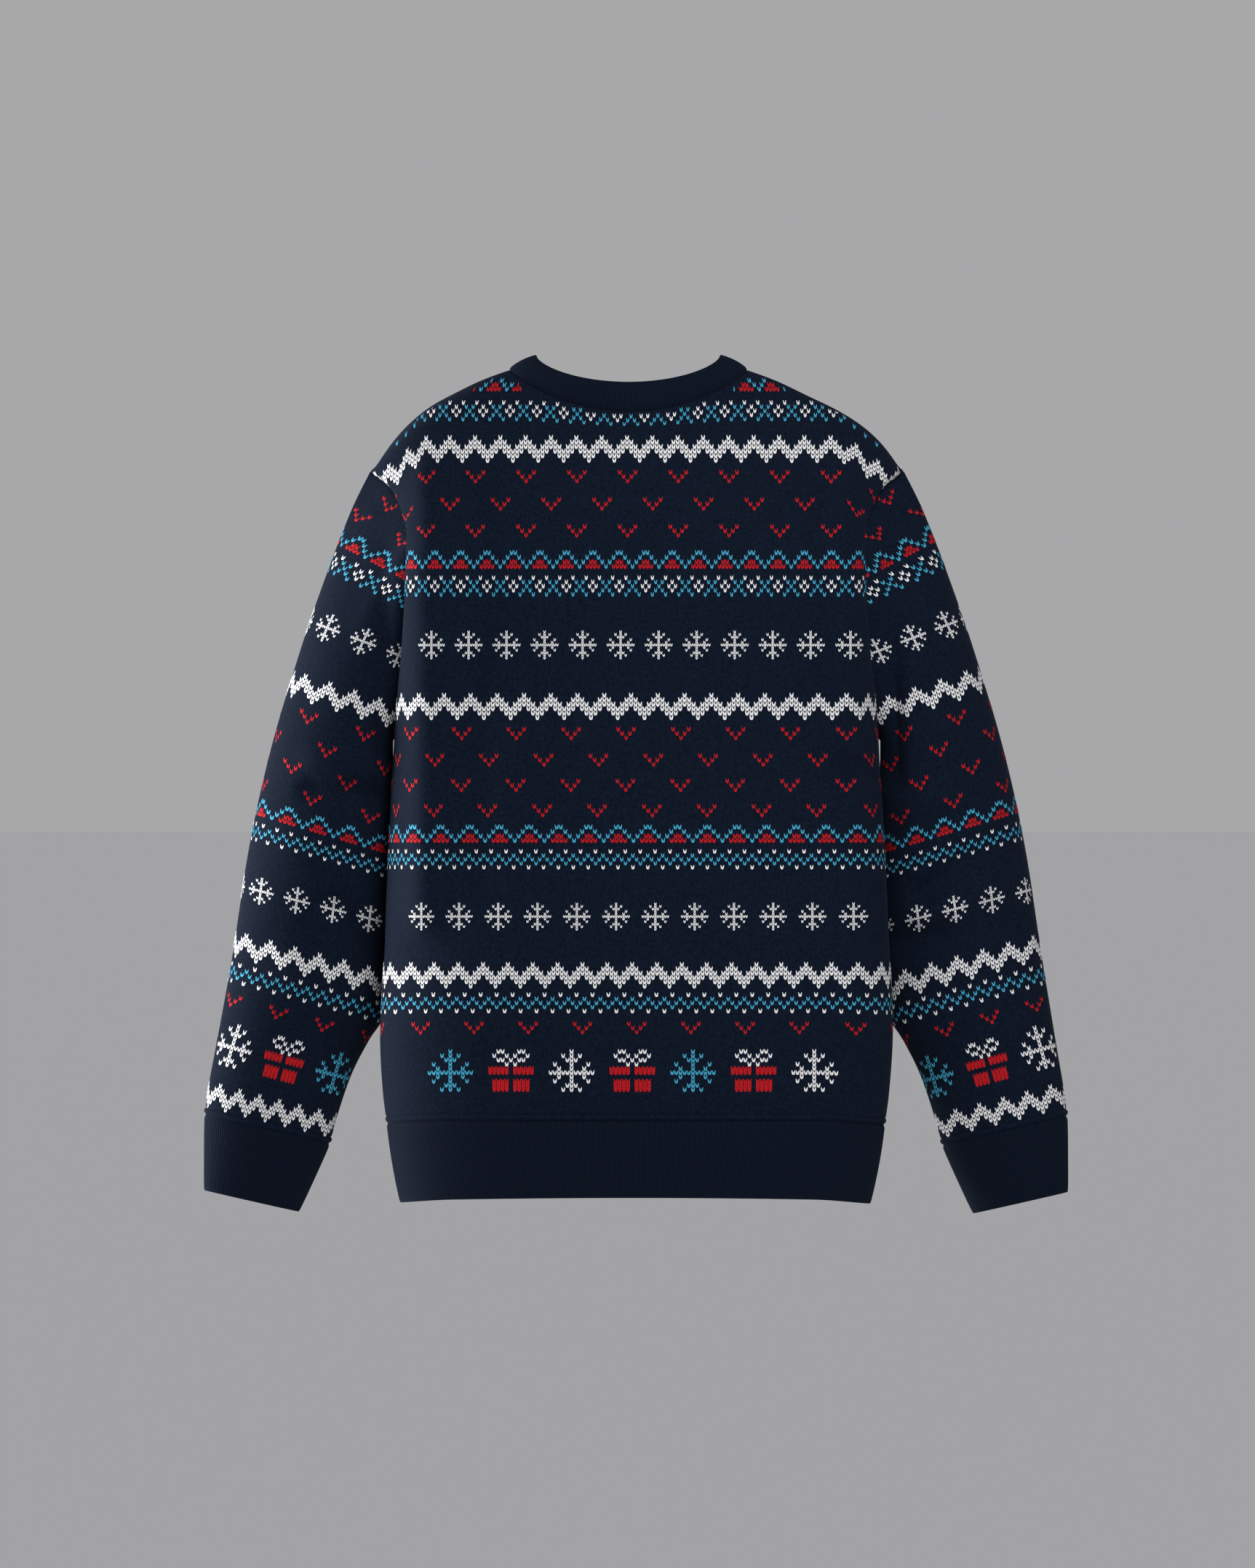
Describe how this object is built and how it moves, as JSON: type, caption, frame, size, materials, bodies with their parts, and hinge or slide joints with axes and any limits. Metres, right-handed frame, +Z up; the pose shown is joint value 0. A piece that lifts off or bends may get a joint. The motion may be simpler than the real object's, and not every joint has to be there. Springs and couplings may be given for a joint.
{
  "type": "christmas sweater",
  "caption": "Long-sleeved crew-neck winter sweatshirt in patterned navy fleece with ribbed collar, cuffs and hem, filled out as if worn.",
  "frame": {"origin": "midpoint between the two high shoulder points, where the shoulder seams meet the collar and the wearer's shoulders carry the garment", "axes": "+X to the wearer's left, -Y the way the front faces, +Z up"},
  "size_m": [0.7272, 0.262, 0.7212],
  "materials": {
    "fleece": "matt brushed knit",
    "rib_knit": "matt ribbed knit"
  },
  "bodies": {
    "root": {"back_panel": "fleece", "front_panel": "fleece", "sleeve_left": "fleece", "sleeve_right": "fleece", "collar_rib": "rib_knit", "hem_rib": "rib_knit", "cuff_left": "rib_knit", "cuff_right": "rib_knit"}
  },
  "joints": []
}
